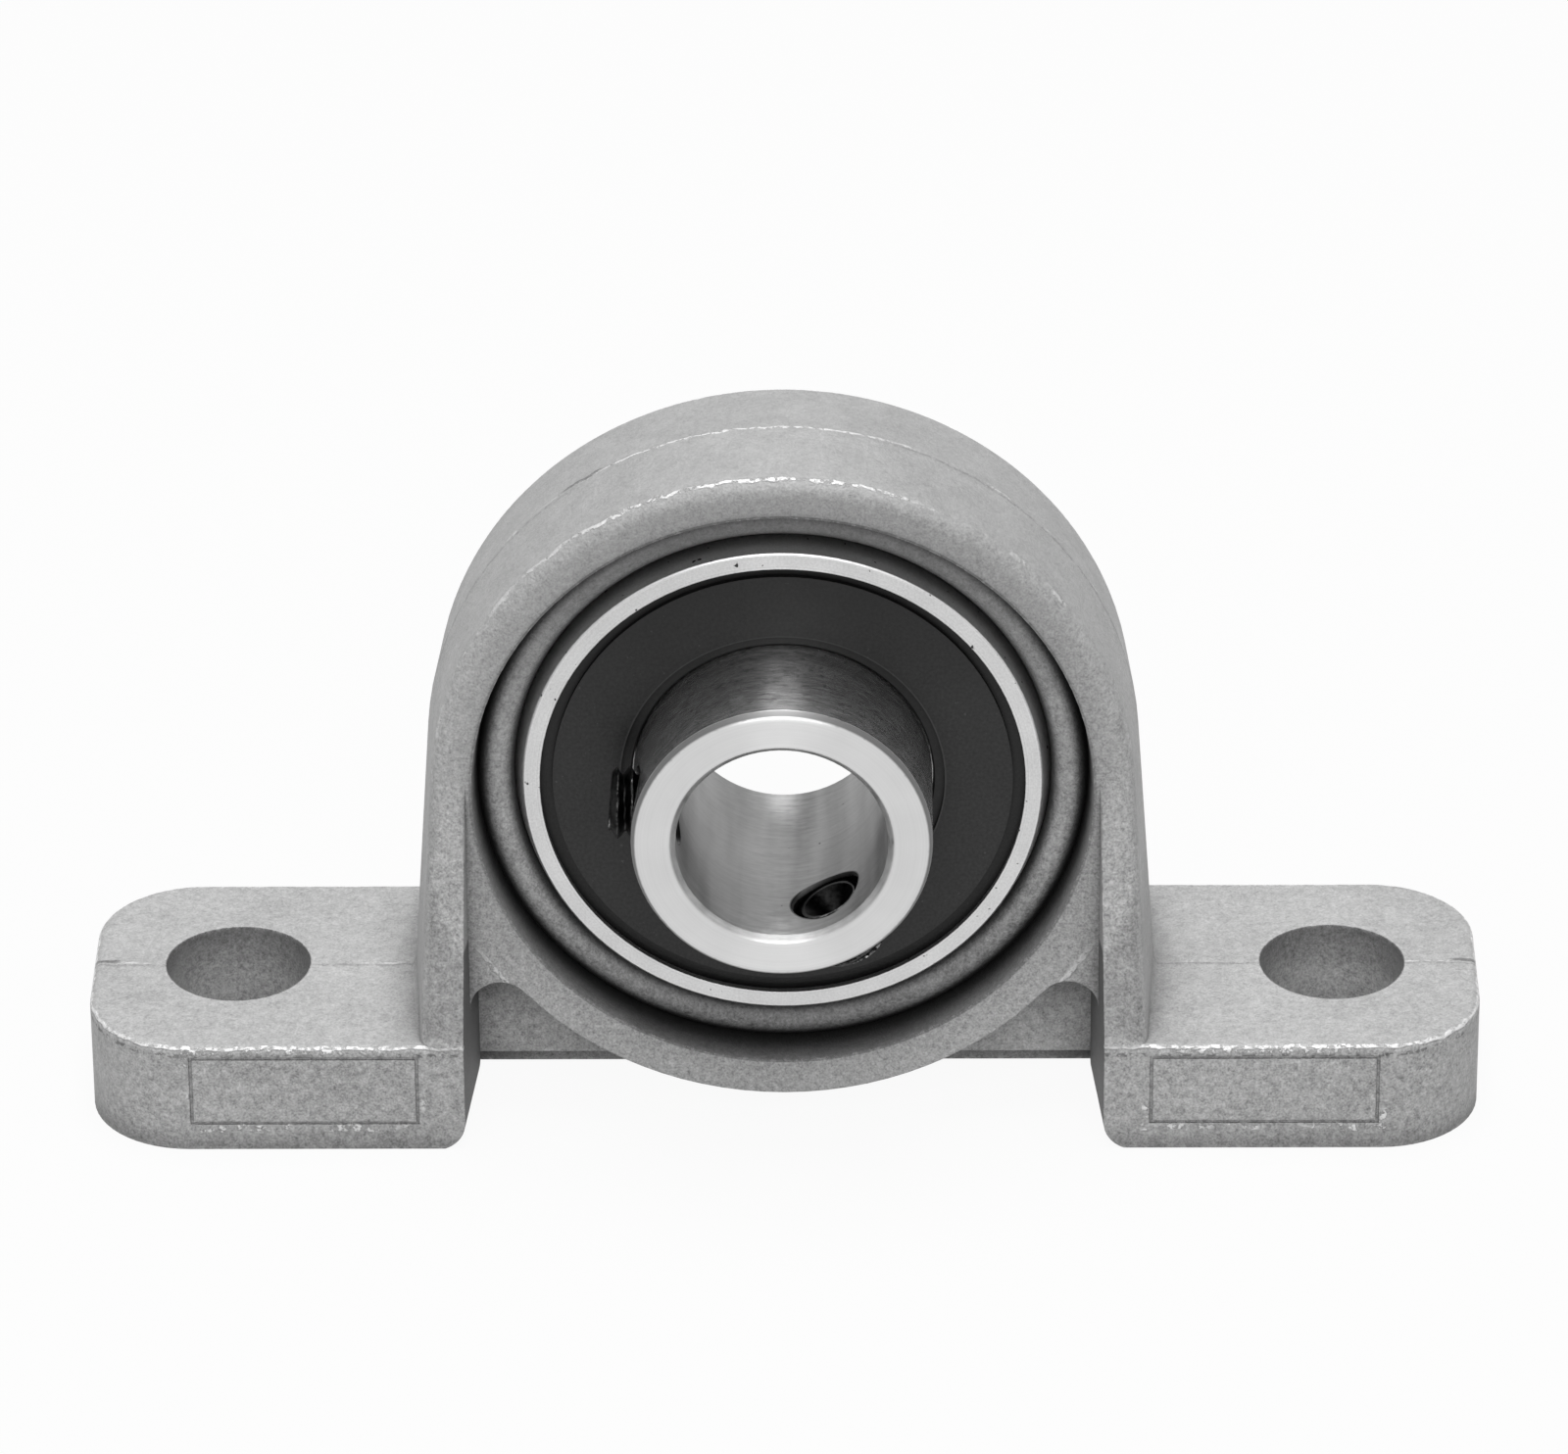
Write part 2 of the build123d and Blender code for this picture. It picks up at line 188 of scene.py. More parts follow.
# Places on the inner ring, in millimetres: radii from the bore axis, and depths along it from the middle
COLLAR_FACE = (-9.90, -9.98)
COLLAR_CHAMFER_START = (-9.55, -9.65)
COLLAR_CHAMFER_END = (-9.96, -9.90)
COLLAR_CHAMFER_RADII = (6.7, 6.8)
COLLAR_FRONT_END = (-9.2, -9.3)
COLLAR_BACK_END = (3.5, 3.6)
BORE_RADII = (5.20, 5.30)

# Walls of the set screw holes, in millimetres from the middle of each hole
HOLE_WALL_RADII = (1.79, 1.85)

# Collar: the streaks are stretched along the bore axis, and the scuffs squeezed
STREAK_SHAPE = (1, 0.12, 1)
SCUFF_SHAPE = (1, 4, 1)
COLLAR_MARK_SLOPE = 0.35
COLLAR_COLOUR = (0.62, 0.72)
COLLAR_SPOT_COLOUR = 0.40
COLLAR_ROUGHNESS = (0.18, 0.23)
COLLAR_ANISOTROPY = 0.93
FACE_COLOUR = 0.66
FACE_ROUGHNESS = 0.30
BORE_COLOUR = (0.27, 0.42)
BORE_ROUGHNESS = (0.30, 0.42)
# Colour and roughness of the chamfer; its darker colour is painted shade that tones down its highlight
CHAMFER_COLOUR = 0.28
CHAMFER_ROUGHNESS = 0.62
SPECK_COLOUR = 0.12
# Painted glints on the thread ridges of the shaded set screw holes, and the bump of those ridges
THREAD_COLOUR = 0.6
THREAD_RIDGE = 8.0
COLLAR_MARK_DEPTH = 0.006 * MM
COLLAR_ROUNDING = 0.1 * MM

# Outer ring
RING_MARK_SLOPE = 1.3
RING_COLOUR = (0.58, 0.66)
RING_SPECK_COLOUR = 0.05
RING_ROUGHNESS = (0.30, 0.38)
RING_MARK_DEPTH = 0.006 * MM
RING_ROUNDING = 0.06 * MM

# Seals: the steps of the lip are radii, and the top heights are from the floor, in millimetres
SEAL_COLOUR = (0.015, 0.022)
# Brightness of the dust, and of the painted highlights on the steps of the lip
SEAL_DUST_AND_HIGHLIGHT = 0.03
SEAL_ROUGHNESS = (0.44, 0.54)
SEAL_SPECULAR = 0.35
SEAL_GRAIN_DEPTH = 0.014 * MM
SEAL_HOLLOW_REACH = 1.5 * MM
SEAL_OUTER_STEP = 7.74
SEAL_INNER_STEP = 7.24
# Towards the top the seal is darkened by painted shadow, down to SEAL_TOP_LEVEL
SEAL_TOP_HEIGHTS = (21.0, 28.0)
SEAL_TOP_LEVEL = 0.4

# Black screws
SCREW_COLOUR = (0.006, 0.02)
# Colour of the worn crests, which also stands for their painted glints
SCREW_WORN_AND_GLINT_COLOUR = 0.5
SCREW_ROUGHNESS = (0.28, 0.38)
SCREW_EDGE_REACH = 0.15 * MM
SCREW_GRAIN_DEPTH = 0.01 * MM

# Balls and sheet steel
BALL_COLOUR = (0.74, 0.80)
BALL_ROUGHNESS = (0.06, 0.12)
SHEET_COLOUR = (0.48, 0.58)
SHEET_ROUGHNESS = (0.3, 0.42)

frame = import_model()


def screw_axis(node):
    """Middle of a set screw, and the direction in which it points away from the shaft."""
    low, high = (Vector(corner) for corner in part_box(node))
    middle = (low + high) / 2
    return middle, Vector((middle.x, 0, middle.z - AXIS_HEIGHT)).normalized()


# Node helpers

class Shader:
    """A material whose nodes are added one by one and joined by their sockets."""

    def __init__(self, name):
        self.material = bpy.data.materials.new(name)
        self.material.use_nodes = True
        self.tree = self.material.node_tree
        self.tree.nodes.clear()
        output = self.add("ShaderNodeOutputMaterial")
        self.surface = self.add("ShaderNodeBsdfPrincipled")
        self.join(self.surface.outputs[0], output.inputs["Surface"])

    def add(self, kind, **settings):
        """A new node with these settings."""
        node = self.tree.nodes.new(kind)
        for name, value in settings.items():
            setattr(node, name, value)
        return node

    def join(self, source, target):
        """Joins two sockets."""
        self.tree.links.new(source, target)

    def put(self, target, value):
        """Joins a socket to the target, or sets the target to a plain value."""
        if isinstance(value, bpy.types.NodeSocket):
            self.join(value, target)
        else:
            target.default_value = value

    def math(self, operation, a, b=0.0):
        """The result of one operation on one or two numbers."""
        node = self.add("ShaderNodeMath", operation=operation)
        self.put(node.inputs[0], a)
        self.put(node.inputs[1], b)
        return node.outputs[0]

    def absolute(self, value):
        """The value without its sign."""
        return self.math("ABSOLUTE", value)

    def total(self, *values):
        """The sum of the values."""
        result = values[0]
        for value in values[1:]:
            result = self.math("ADD", result, value)
        return result

    def product(self, *values):
        """The values multiplied."""
        result = values[0]
        for value in values[1:]:
            result = self.math("MULTIPLY", result, value)
        return result

    def vector(self, operation, a, b=(0, 0, 0)):
        """A node with one operation on one or two vectors."""
        node = self.add("ShaderNodeVectorMath", operation=operation)
        self.put(node.inputs[0], a)
        self.put(node.inputs[1], b)
        return node

    def vector_product(self, a, b):
        """Two vectors multiplied, one coordinate at a time."""
        return self.vector("MULTIPLY", a, b).outputs[0]

    def length(self, vector):
        """The length of a vector."""
        return self.vector("LENGTH", vector).outputs["Value"]

    def coordinates(self, vector):
        """The coordinates of a vector, by their names."""
        node = self.add("ShaderNodeSeparateXYZ")
        self.join(vector, node.inputs[0])
        return node.outputs

    def place(self):
        """Place on the piece in millimetres."""
        where = self.add("ShaderNodeTexCoord").outputs["Object"]
        scaled = self.vector("SCALE", where)
        scaled.inputs["Scale"].default_value = 1 / MM
        return scaled.outputs[0]

    def facing(self):
        """How far the surface faces along each axis, from 0 to 1."""
        normal = self.add("ShaderNodeTexCoord").outputs["Normal"]
        return self.coordinates(self.vector("ABSOLUTE", normal).outputs[0])

    def noise(self, where, per_mm, detail, roughness=0.5, dimensions="3D"):
        """A noise from 0 to 1, with per_mm cells to the millimetre."""
        node = self.add("ShaderNodeTexNoise", noise_dimensions=dimensions)
        self.join(where, node.inputs["W" if dimensions == "1D" else "Vector"])
        node.inputs["Scale"].default_value = per_mm
        node.inputs["Detail"].default_value = detail
        node.inputs["Roughness"].default_value = roughness
        return node.outputs["Fac"]

    def spread(self, value, low, high, to_low=0.0, to_high=1.0, smooth=False):
        """Turns the range from low to high into the range from to_low to to_high."""
        node = self.add("ShaderNodeMapRange", clamp=True)
        node.interpolation_type = "SMOOTHSTEP" if smooth else "LINEAR"
        self.put(node.inputs["Value"], value)
        node.inputs["From Min"].default_value = low
        node.inputs["From Max"].default_value = high
        node.inputs["To Min"].default_value = to_low
        node.inputs["To Max"].default_value = to_high
        return node.outputs["Result"]

    def fall(self, value, low, high):
        """1 below the range and 0 above it."""
        return self.spread(value, low, high, to_low=1.0, to_high=0.0)

    def vary(self, noise, to_low, to_high):
        """A number that follows a noise from to_low to to_high."""
        return self.spread(noise, *NOISE_RANGE, to_low, to_high)

    def soft(self, value, low, high):
        """0 below the range and 1 above it, with soft borders."""
        return self.spread(value, low, high, smooth=True)

    def near(self, value, middle, reach, flat=0.0):
        """1 within the flat of the middle, falling to 0 at the reach on both sides."""
        distance = self.absolute(self.math("SUBTRACT", value, middle))
        return self.spread(distance, flat, reach, to_low=1.0, to_high=0.0, smooth=True)

    def mix(self, share, a, b):
        """A number between a and b."""
        node = self.add("ShaderNodeMix", data_type="FLOAT")
        self.put(node.inputs[0], share)
        self.put(node.inputs[2], a)
        self.put(node.inputs[3], b)
        return node.outputs[0]

    def grey(self, value):
        """A grey colour of this brightness."""
        node = self.add("ShaderNodeCombineColor")
        for socket in node.inputs[:3]:
            self.put(socket, value)
        return node.outputs[0]

    def bump(self, height, distance, strength, normal=None):
        """A normal that follows a height, where 1 stands for the distance."""
        node = self.add("ShaderNodeBump")
        node.inputs["Distance"].default_value = distance
        node.inputs["Strength"].default_value = strength
        self.join(height, node.inputs["Height"])
        if normal is not None:
            self.join(normal, node.inputs["Normal"])
        return node.outputs[0]

    def rounded(self, radius):
        """A normal that rounds the edges off."""
        node = self.add("ShaderNodeBevel", samples=LOOKUP_SAMPLES)
        self.put(node.inputs["Radius"], radius)
        return node.outputs[0]

    def outer_edges(self, reach):
        """1 near an outer edge and 0 on flat faces and in corners."""
        node = self.add("ShaderNodeAmbientOcclusion", samples=LOOKUP_SAMPLES, inside=True, only_local=True)
        node.inputs["Distance"].default_value = reach
        return self.math("SUBTRACT", 1.0, node.outputs["AO"])

    def hollows(self, reach):
        """1 deep in a hollow and 0 in the open."""
        node = self.add("ShaderNodeAmbientOcclusion", samples=LOOKUP_SAMPLES)
        node.inputs["Distance"].default_value = reach
        return self.math("SUBTRACT", 1.0, node.outputs["AO"])

    def from_axis(self, where):
        """The place as seen from the bore axis, without its depth, in millimetres."""
        seen = self.vector("SUBTRACT", where, (0, 0, AXIS_HEIGHT / MM)).outputs[0]
        return self.vector_product(seen, WITHOUT_Y)

    def radius_and_y(self, where):
        """Distance from the bore axis and place along it, both in millimetres."""
        return self.length(self.from_axis(where)), self.coordinates(where)["Y"]

    def turned(self, where):
        """Direction across the turning marks: along the bore axis on a round, outwards on a face."""
        outwards = self.vector("NORMALIZE", self.from_axis(where)).outputs[0]
        across = self.vector("ADD", outwards, (0, 1, 0)).outputs[0]
        node = self.add("ShaderNodeVectorTransform", vector_type="VECTOR")
        node.convert_from = "OBJECT"
        node.convert_to = "WORLD"
        self.join(across, node.inputs[0])
        return node.outputs[0]

    def finish(self, colour, roughness, metallic, normal=None):
        """Gives the surface its finish, and returns the material."""
        self.put(self.surface.inputs["Base Color"], self.grey(colour))
        self.put(self.surface.inputs["Roughness"], roughness)
        self.surface.inputs["Metallic"].default_value = metallic
        if normal is not None:
            self.join(normal, self.surface.inputs["Normal"])
        return self.material


# Materials

def bolt_hole_mask(s, where, place):
    """1 on the walls of the bolt holes, less towards the floor: where the bolt holes get painted shade,
    darkest near their top.
    """
    from_middle = s.vector("ABSOLUTE", s.vector_product(where, WITHOUT_Z)).outputs[0]
    distance = s.vector("DISTANCE", from_middle, BOLT_MIDDLE).outputs["Value"]
    high = s.spread(place["Z"], *BOLT_HEIGHTS, to_low=0.1, to_high=1.0)
    return s.product(s.fall(distance, *BOLT_RADII), high)


def leg_mask(s, place, side, radius):
    """1 on the front and back of the legs, between the pockets and the feet, where the legs get painted
    shade.
    """
    return s.product(
        s.spread(s.facing()["Y"], 0.6, 0.8),
        s.spread(side, *LEG_INNER_SIDES),
        s.spread(radius, *LEG_RADII),
        s.fall(side, *LEG_OUTER_SIDES),
        s.spread(place["Z"], *LEG_HEIGHTS),
    )


def zinc_painted_shade(s, where):
    """Painted shade: the share of its colour that the zinc keeps, 1 in the open and less in the moat, at the
    bead, under the overhang, on the sideways walls of the pockets, in the bolt holes, on the legs, towards
    the top of the dome and in hollows.
    """
    radius, along = s.radius_and_y(where)
    place = s.coordinates(where)
    depth = s.absolute(along)
    side = s.absolute(place["X"])
    off_level = s.absolute(s.math("SUBTRACT", place["Z"], AXIS_HEIGHT / MM))
    mouth = s.fall(radius, *MOUTH_RADII)
    deep = s.spread(depth, *MOAT_DEPTHS, to_low=1.0, to_high=0.3, smooth=True)
    moat = s.product(s.spread(radius, *MOAT_RADII), mouth, deep)
    front = s.spread(depth, *ARCH_FRONT_DEPTHS)
    bead = s.product(s.fall(radius, *BEAD_OUTER_RADII), front, s.spread(radius, *BEAD_INNER_RADII))
    sheltered = s.spread(depth, *OVERHANG_DEPTHS, to_low=1.0, to_high=0.7)
    overhang = s.product(mouth, s.spread(off_level, *OVERHANG_OFF_LEVEL), sheltered)
    sideways = s.spread(s.facing()["X"], 0.75, 0.85)
    pocket = s.product(sideways, s.fall(side, *POCKET_SIDES), s.spread(radius, *POCKET_RADII))
    # Each place below darkens the colour towards its level where its mask is 1: painted shade where little
    # light falls.
    masks = (
        (moat, MOAT_LEVEL),
        (bead, BEAD_LEVEL),
        (overhang, OVERHANG_LEVEL),
        (pocket, POCKET_LEVEL),
        (bolt_hole_mask(s, where, place), BOLT_LEVEL),
        (leg_mask(s, place, side, radius), LEG_LEVEL),
    )
    hollow = s.hollows(ZINC_HOLLOW_REACH)
    hollow = s.spread(hollow, 0.16, 0.85, to_low=1.0, to_high=HOLLOW_LEVEL, smooth=True)
    level = s.product(hollow, s.spread(place["Z"], *DOME_HEIGHTS, to_low=1.0, to_high=DOME_LEVEL))
    for mask, least in masks:
        level = s.product(level, s.spread(mask, 0.0, 1.0, to_low=1.0, to_high=least))
    return level


def foot_outline(s, where):
    """Distance outside the outline of the feet, seen from above, in millimetres."""
    from_corner = s.vector("SUBTRACT", s.vector("ABSOLUTE", where).outputs[0], FOOT_CORNER_MIDDLE).outputs[0]
    outside = s.vector_product(s.vector("MAXIMUM", from_corner).outputs[0], WITHOUT_Z)
    return s.math("SUBTRACT", s.length(outside), FOOT_CORNER_RADIUS)


def panel_outline(s, place):
    """Distance outside the rectangle on the front of each foot, in millimetres."""
    across = s.absolute(s.math("SUBTRACT", s.absolute(place["X"]), PANEL_SIDE))
    up = s.absolute(s.math("SUBTRACT", place["Z"], PANEL_HEIGHT))
    beyond_end = s.math("SUBTRACT", across, PANEL_HALF_LENGTH)
    return s.math("MAXIMUM", beyond_end, s.math("SUBTRACT", up, PANEL_HALF_HEIGHT))


class ZincWearAndLight:
    """The noises and places that the marks along the edges of the zinc share: worn metal, painted highlights
    and painted shade.
    """

    def __init__(self, s, where):
        self.radius, self.along = s.radius_and_y(where)
        self.place = s.coordinates(where)
        self.depth = s.absolute(self.along)
        self.side = s.absolute(self.place["X"])
        self.wander = s.vary(s.noise(where, per_mm=1.1, detail=5.0, roughness=0.6), -EDGE_WANDER, EDGE_WANDER)
        self.broken = s.soft(s.noise(where, per_mm=3.2, detail=4.0, roughness=0.65), 0.36, 0.52)
        self.chips = s.soft(s.noise(where, per_mm=2.8, detail=4.0, roughness=0.65), 0.50, 0.57)
        self.outline = foot_outline(s, where)
        in_ring = s.spread(self.radius, *OUTSIDE_RADII)
        self.outside = s.math("MAXIMUM", in_ring, s.spread(self.side, *OUTSIDE_SIDES))
        crown_sides = s.near(self.place["X"], CROWN_SIDE, reach=10.0, flat=5.0)
        self.crown = s.product(crown_sides, s.spread(self.place["Z"], *CROWN_HEIGHTS))


def arch_lines(s, where, wear_and_light):
    """Bright broken lines on the arch, partly worn metal and partly painted highlight: the parting line and
    the front edge, strongest on the crown.
    """
    worn = s.soft(s.noise(where, per_mm=0.45, detail=3.0, roughness=0.6), 0.50, 0.60)
    strength = s.math("MAXIMUM", wear_and_light.crown, s.product(worn, LINE_STRENGTH_OFF_CROWN))
    seam = s.product(s.near(s.total(wear_and_light.along, wear_and_light.wander), 0.0, reach=0.13, flat=0.05), wear_and_light.outside)
    edge = s.near(s.total(wear_and_light.depth, wear_and_light.wander), ARCH_EDGE_DEPTH, reach=0.14, flat=0.05)
    edge = s.product(edge, s.spread(wear_and_light.radius, *ARCH_EDGE_RADII), s.spread(wear_and_light.place["Z"], *ABOVE_FEET))
    return s.product(s.math("MAXIMUM", edge, seam), wear_and_light.broken, strength, LINE_STRENGTH)


def boss_highlight(s, wear_and_light):
    """Painted highlight: a bright broken line round the lower half of the ring that holds the insert."""
    line = s.near(s.total(wear_and_light.radius, wear_and_light.wander), BOSS_RADIUS, reach=0.16, flat=0.05)
    line = s.product(line, s.spread(wear_and_light.depth, *ARCH_FRONT_DEPTHS))
    return s.product(line, s.fall(wear_and_light.place["Z"], *BOSS_HEIGHTS), wear_and_light.broken, BOSS_STRENGTH)


def foot_line(s, wear_and_light):
    """Bright line along the upper edge of the feet, partly worn metal and partly a painted highlight on the
    rounded edge.
    """
    height = s.total(wear_and_light.place["Z"], s.product(wear_and_light.wander, 0.7))
    height = s.near(height, FOOT_EDGE_HEIGHT, reach=0.11, flat=0.04)
    outline = s.near(wear_and_light.outline, -0.12, reach=0.20, flat=0.12)
    return s.product(height, outline, s.spread(wear_and_light.broken, 0.0, 1.0, to_low=0.25, to_high=0.9))


def panel_chips(s, where, wear_and_light):
    """Bright chips round the rectangle on the front of each foot, and in the same places behind."""
    border = s.total(panel_outline(s, wear_and_light.place), s.product(wear_and_light.wander, 0.9))
    border = s.near(border, PANEL_BORDER, reach=0.26, flat=0.12)
    worn = s.soft(s.noise(where, per_mm=0.3, detail=3.0, roughness=0.6), 0.46, 0.54)
    return s.product(border, wear_and_light.chips, worn, s.spread(wear_and_light.depth, *FOOT_FRONT_DEPTHS))


def zinc_gap_shade(s, wear_and_light):
    """Painted shade: dark gaps beside the parting line and under the edge of the feet, and in two dents in
    the parting line.
    """
    seam = s.total(wear_and_light.along, wear_and_light.wander)
    off_crown = s.math("SUBTRACT", 1.0, wear_and_light.crown)
    beside = s.product(s.near(seam, SEAM_GAP_DEPTH, reach=0.16), wear_and_light.outside, off_crown)
    under = s.near(wear_and_light.place["Z"], FOOT_SHADOW_HEIGHT, reach=0.16, flat=0.05)
    under = s.product(under, s.near(wear_and_light.outline, 0.0, reach=0.2), wear_and_light.chips)
    crown_dent = s.near(wear_and_light.place["X"], CROWN_DENT_SIDE, reach=1.2, flat=0.7)
    dents = s.math("MAXIMUM", crown_dent, s.near(wear_and_light.side, END_DENT_SIDE, reach=0.8, flat=0.4))
    dents = s.product(dents, s.near(seam, DENT_DEPTH, reach=0.18, flat=0.08), wear_and_light.outside)
    beside = s.product(beside, s.spread(wear_and_light.broken, 0.2, 0.8), SEAM_GAP_STRENGTH)
    return s.math("MAXIMUM", beside, s.math("MAXIMUM", under, dents))


def zinc_edges(s, where):
    """Bright metal at the edges, partly worn and partly painted highlight, and the painted shade in the gaps
    beside them.
    """
    wear_and_light = ZincWearAndLight(s, where)
    edge = s.soft(s.outer_edges(ZINC_EDGE_REACH), 0.36, 0.66)
    arch = s.math("MAXIMUM", arch_lines(s, where, wear_and_light), boss_highlight(s, wear_and_light))
    foot = s.math("MAXIMUM", foot_line(s, wear_and_light), panel_chips(s, where, wear_and_light))
    lines = s.math("MAXIMUM", arch, foot)
    lines = s.math("MAXIMUM", lines, s.product(edge, wear_and_light.chips, CHIP_STRENGTH))
    return s.math("MAXIMUM", lines, s.product(edge, EDGE_STRENGTH)), zinc_gap_shade(s, wear_and_light)


def cast_zinc():
    """Die-cast zinc: a sandy grain, painted shade in the hollows and recesses, a parting line, bright chipped
    edges with painted highlights along some of them, and painted shade in the gaps beside them.
    """
    s = Shader("cast_zinc")
    where = s.place()
    radius, along = s.radius_and_y(where)
    grain = s.noise(where, per_mm=3.4, detail=4.0, roughness=0.65)
    sand = s.noise(where, per_mm=9.0, detail=2.0, roughness=0.6)
    mottle = s.noise(where, per_mm=0.8, detail=3.0)
    stain = s.noise(where, per_mm=0.13, detail=4.0, roughness=0.6)
    tone = s.total(s.spread(grain, 0.25, 0.75, to_low=-0.14, to_high=0.14), s.vary(sand, -0.10, 0.10))
    tone = s.product(tone, s.spread(s.facing()["Y"], 0.3, 0.9, to_low=0.7, to_high=1.2))
    tone = s.product(tone, s.spread(s.coordinates(where)["Z"], *GRAIN_HEIGHTS, to_low=1.0, to_high=0.6))
    tone = s.total(tone, s.vary(mottle, -0.025, 0.025), s.vary(stain, -0.03, 0.03))
    # The colour is darkened by painted shade in hollows, recesses and on faces that get little light.
    base = s.product(s.total(tone, ZINC_COLOUR), zinc_painted_shade(s, where))
    # The bright marks are partly worn metal and partly painted highlights; the dark gaps are painted shade.
    shine, gap_shade = zinc_edges(s, where)
    kept = s.spread(gap_shade, 0.0, 1.0, to_low=1.0, to_high=GAP_LEVEL)
    colour = s.product(s.mix(shine, base, ZINC_BRIGHT), kept)
    rough = s.mix(shine, s.vary(grain, *ZINC_ROUGHNESS), ZINC_BRIGHT_ROUGHNESS)
    height = s.total(grain, s.product(sand, 0.5), s.product(shine, 1.5))
    mouth = s.near(radius, MOUTH_EDGE_RADIUS, reach=0.8)
    mouth = s.product(mouth, s.spread(s.absolute(along), *MOUTH_EDGE_DEPTHS))
    rounding = s.rounded(s.mix(mouth, ZINC_ROUNDING, ZINC_MOUTH_ROUNDING))
    return s.finish(colour, rough, ZINC_METALLIC, s.bump(height, ZINC_GRAIN_DEPTH, 0.9, rounding))


def ring_steel():
    """Ground bearing steel: satin, with faint turning marks and a few dark specks."""
    s = Shader("ring_steel")
    where = s.place()
    radius, along = s.radius_and_y(where)
    across = s.total(radius, s.product(along, RING_MARK_SLOPE))
    marks = s.noise(across, per_mm=14.0, detail=3.0, roughness=0.6, dimensions="1D")
    cloud = s.noise(where, per_mm=0.5, detail=3.0)
    specks = s.soft(s.noise(where, per_mm=2.6, detail=1.0), 0.74, 0.78)
    grain = s.noise(where, per_mm=9.0, detail=2.0)
    colour = s.total(s.vary(marks, *RING_COLOUR), s.vary(cloud, -0.03, 0.03), s.vary(grain, -0.05, 0.05))
    colour = s.mix(specks, colour, RING_SPECK_COLOUR)
    normal = s.bump(marks, RING_MARK_DEPTH, 0.6, s.rounded(RING_ROUNDING))
    return s.finish(colour, s.vary(marks, *RING_ROUGHNESS), 1.0, normal)


def threaded_holes(s, where):
    """1 on the walls of the set screw holes, and the ridges of their thread: the walls are painted dark as
    shade, and the ridges carry painted glints.
    """
    wall = 0.0
    ridges = 0.0
    for screw in SET_SCREWS:
        middle, outwards = screw_axis(screw)
        away = s.vector("SUBTRACT", where, middle / MM).outputs[0]
        depth = s.vector("DOT_PRODUCT", away, outwards).outputs["Value"]
        distance = s.length(s.vector("CROSS_PRODUCT", away, outwards).outputs[0])
        inside = s.fall(distance, *HOLE_WALL_RADII)
        inside = s.product(inside, s.math("GREATER_THAN", depth, -SCREW_LENGTH / MM))
        wall = s.math("MAXIMUM", wall, inside)
        ridge = s.math("PINGPONG", depth, THREAD_PITCH / MM / 2)
        ridges = s.total(ridges, s.product(ridge, inside))
    return wall, ridges


def collar_steel():
    """Turned steel of the inner ring: a bright face, a ground collar, a duller bore, painted shade on the
    chamfer, and threads painted dark as shade with painted glints on their ridges.
    """
    s = Shader("collar_steel")
    where = s.place()
    radius, along = s.radius_and_y(where)
    across = s.total(radius, s.product(along, COLLAR_MARK_SLOPE))
    marks = s.noise(across, per_mm=8.0, detail=2.0, dimensions="1D")
    streaks = s.noise(s.vector_product(where, STREAK_SHAPE), per_mm=0.45, detail=3.0)
    scuffs = s.noise(s.vector_product(where, SCUFF_SHAPE), per_mm=1.2, detail=3.0, roughness=0.6)
    cloud = s.noise(where, per_mm=0.4, detail=3.0)
    specks = s.soft(s.noise(where, per_mm=2.2, detail=1.0), 0.78, 0.82)
    spots = s.soft(s.noise(where, per_mm=3.2, detail=3.0, roughness=0.6), 0.55, 0.68)
    face = s.spread(along, *COLLAR_FACE)
    bore = s.fall(radius, *BORE_RADII)
    chamfer = s.product(s.spread(along, *COLLAR_CHAMFER_START), s.spread(along, *COLLAR_CHAMFER_END))
    chamfer = s.product(chamfer, s.spread(radius, *COLLAR_CHAMFER_RADII))
    wall, ridges = threaded_holes(s, where)
    colour = s.mix(spots, s.vary(scuffs, *COLLAR_COLOUR), COLLAR_SPOT_COLOUR)
    colour = s.mix(face, colour, FACE_COLOUR)
    dull = s.total(s.spread(streaks, 0.38, 0.62, *BORE_COLOUR), s.vary(scuffs, -0.06, 0.06))
    colour = s.mix(bore, colour, dull)
    colour = s.total(colour, s.vary(marks, -0.015, 0.015), s.vary(cloud, -0.02, 0.02))
    colour = s.mix(specks, colour, SPECK_COLOUR)
    # The chamfer is painted darker to tone down its highlight: painted shade.
    colour = s.mix(chamfer, colour, CHAMFER_COLOUR)
    # The hole walls are painted dark as shade, with painted glints along the thread ridges.
    colour = s.mix(wall, colour, s.product(ridges, THREAD_COLOUR))
    rough = s.mix(face, s.vary(scuffs, *COLLAR_ROUGHNESS), FACE_ROUGHNESS)
    rough = s.mix(bore, rough, s.vary(scuffs, *BORE_ROUGHNESS))
    rough = s.mix(chamfer, rough, CHAMFER_ROUGHNESS)
    height = s.total(s.product(marks, 0.6), s.product(ridges, THREAD_RIDGE))
    ends = s.math("MAXIMUM", s.spread(along, *COLLAR_FRONT_END), s.spread(along, *COLLAR_BACK_END))
    rounding = s.rounded(s.product(ends, COLLAR_ROUNDING))
    s.surface.inputs["Anisotropic"].default_value = COLLAR_ANISOTROPY
    s.join(s.turned(where), s.surface.inputs["Tangent"])
    return s.finish(colour, rough, 1.0, s.bump(height, COLLAR_MARK_DEPTH, 0.6, rounding))


def ball_steel():
    """Polished balls."""
    s = Shader("ball_steel")
    cloud = s.noise(s.place(), per_mm=1.0, detail=2.0)
    return s.finish(s.vary(cloud, *BALL_COLOUR), s.vary(cloud, *BALL_ROUGHNESS), 1.0)


